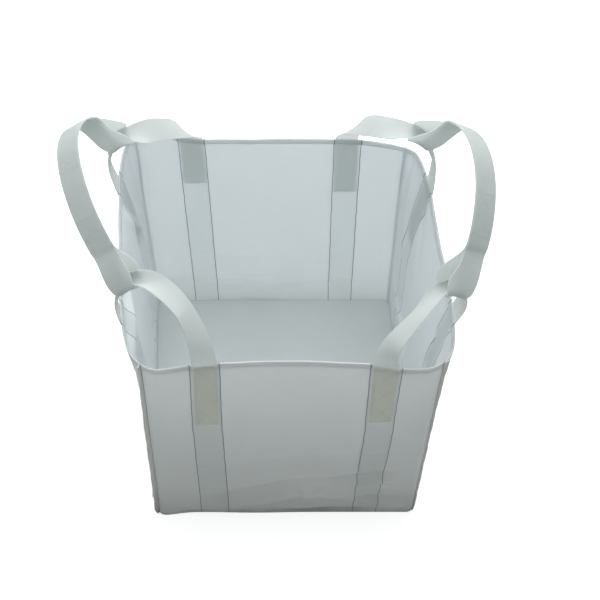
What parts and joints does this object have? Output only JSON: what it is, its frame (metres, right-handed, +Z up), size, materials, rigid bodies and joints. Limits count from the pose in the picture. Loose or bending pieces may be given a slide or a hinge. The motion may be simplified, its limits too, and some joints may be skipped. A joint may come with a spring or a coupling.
{
  "type": "bulk bag",
  "caption": "Open-topped square woven bulk bag with cross-corner webbing lifting loops and a carrying strap joining each side's loops.",
  "frame": {"origin": "centre of the underside of the base panel", "axes": "+Z up through the open mouth, +X to the right and +Y to the back as the bag stands with its front panel towards the viewer"},
  "size_m": [1.263, 0.9293, 1.4069],
  "materials": {
    "cloth": "translucent off-white woven polypropylene cloth, matt",
    "webbing": "off-white flat woven polypropylene webbing, matt",
    "leg_webbing": "flat woven webbing lying in shade on the cloth, matt",
    "thread": "off-white sewing thread"
  },
  "bodies": {
    "bag": {"front_panel": "cloth", "front_mouth_hem": "cloth", "front_right_corner_seam": "cloth", "right_panel": "cloth", "right_mouth_hem": "cloth", "back_right_corner_seam": "cloth", "back_panel": "cloth", "back_mouth_hem": "cloth", "back_left_corner_seam": "cloth", "left_panel": "cloth", "left_mouth_hem": "cloth", "front_left_corner_seam": "cloth", "base_panel": "cloth", "right_base_seam": "cloth", "left_base_seam": "cloth", "front_left_loop_end_leg": "leg_webbing", "front_left_loop_side_leg": "leg_webbing", "front_left_end_leg_stitching": "thread", "front_left_side_leg_stitching": "thread", "front_right_loop_end_leg": "leg_webbing", "front_right_loop_side_leg": "leg_webbing", "front_right_end_leg_stitching": "thread", "front_right_side_leg_stitching": "thread", "back_right_loop_end_leg": "leg_webbing", "back_right_loop_side_leg": "leg_webbing", "back_right_end_leg_stitching": "thread", "back_right_side_leg_stitching": "thread", "back_left_loop_end_leg": "leg_webbing", "back_left_loop_side_leg": "leg_webbing", "back_left_end_leg_stitching": "thread", "back_left_side_leg_stitching": "thread"},
    "front_left_loop": {"front_left_loop_arch": "webbing", "left_strap_front_eye": "webbing"},
    "back_left_loop": {"back_left_loop_arch": "webbing", "left_strap_back_eye": "webbing"},
    "left_strap": {"left_strap_outer_ply": "webbing", "left_strap_inner_ply": "webbing", "left_strap_front_stitching": "thread", "left_strap_back_stitching": "thread"},
    "front_right_loop": {"front_right_loop_arch": "webbing", "right_strap_front_eye": "webbing"},
    "back_right_loop": {"back_right_loop_arch": "webbing", "right_strap_back_eye": "webbing"},
    "right_strap": {"right_strap_outer_ply": "webbing", "right_strap_inner_ply": "webbing", "right_strap_front_stitching": "thread", "right_strap_back_stitching": "thread"}
  },
  "joints": [
    {"name": "front_left_loop_lean", "type": "hinge", "parent": "bag", "child": "front_left_loop", "pos_m": [-0.35344, 0, 0.985], "axis": [-0.0896, 0.996, 0], "range_deg": [-12, 12]},
    {"name": "back_left_loop_lean", "type": "hinge", "parent": "bag", "child": "back_left_loop", "pos_m": [-0.35344, 0, 0.985], "axis": [-0.0896, 0.996, 0], "range_deg": [-12, 12]},
    {"name": "front_right_loop_lean", "type": "hinge", "parent": "bag", "child": "front_right_loop", "pos_m": [0.35056, 0, 0.985], "axis": [-0.0896, 0.996, 0], "range_deg": [-12, 12]},
    {"name": "back_right_loop_lean", "type": "hinge", "parent": "bag", "child": "back_right_loop", "pos_m": [0.35056, 0, 0.985], "axis": [-0.0896, 0.996, 0], "range_deg": [-12, 12]},
    {"name": "left_strap_swing", "type": "hinge", "parent": "front_left_loop", "child": "left_strap", "pos_m": [-0.5008, -0.23864, 1.28476], "axis": [-0.1747, 0.9839, 0.037], "range_deg": [-25, 25]},
    {"name": "right_strap_swing", "type": "hinge", "parent": "front_right_loop", "child": "right_strap", "pos_m": [0.5659, -0.21483, 1.262], "axis": [-0.0724, 0.992, 0.1037], "range_deg": [-25, 25]}
  ],
  "couplings": [
    {"joint": "back_left_loop_lean", "follows": "front_left_loop_lean", "ratio": 1},
    {"joint": "back_right_loop_lean", "follows": "front_right_loop_lean", "ratio": 1}
  ]
}
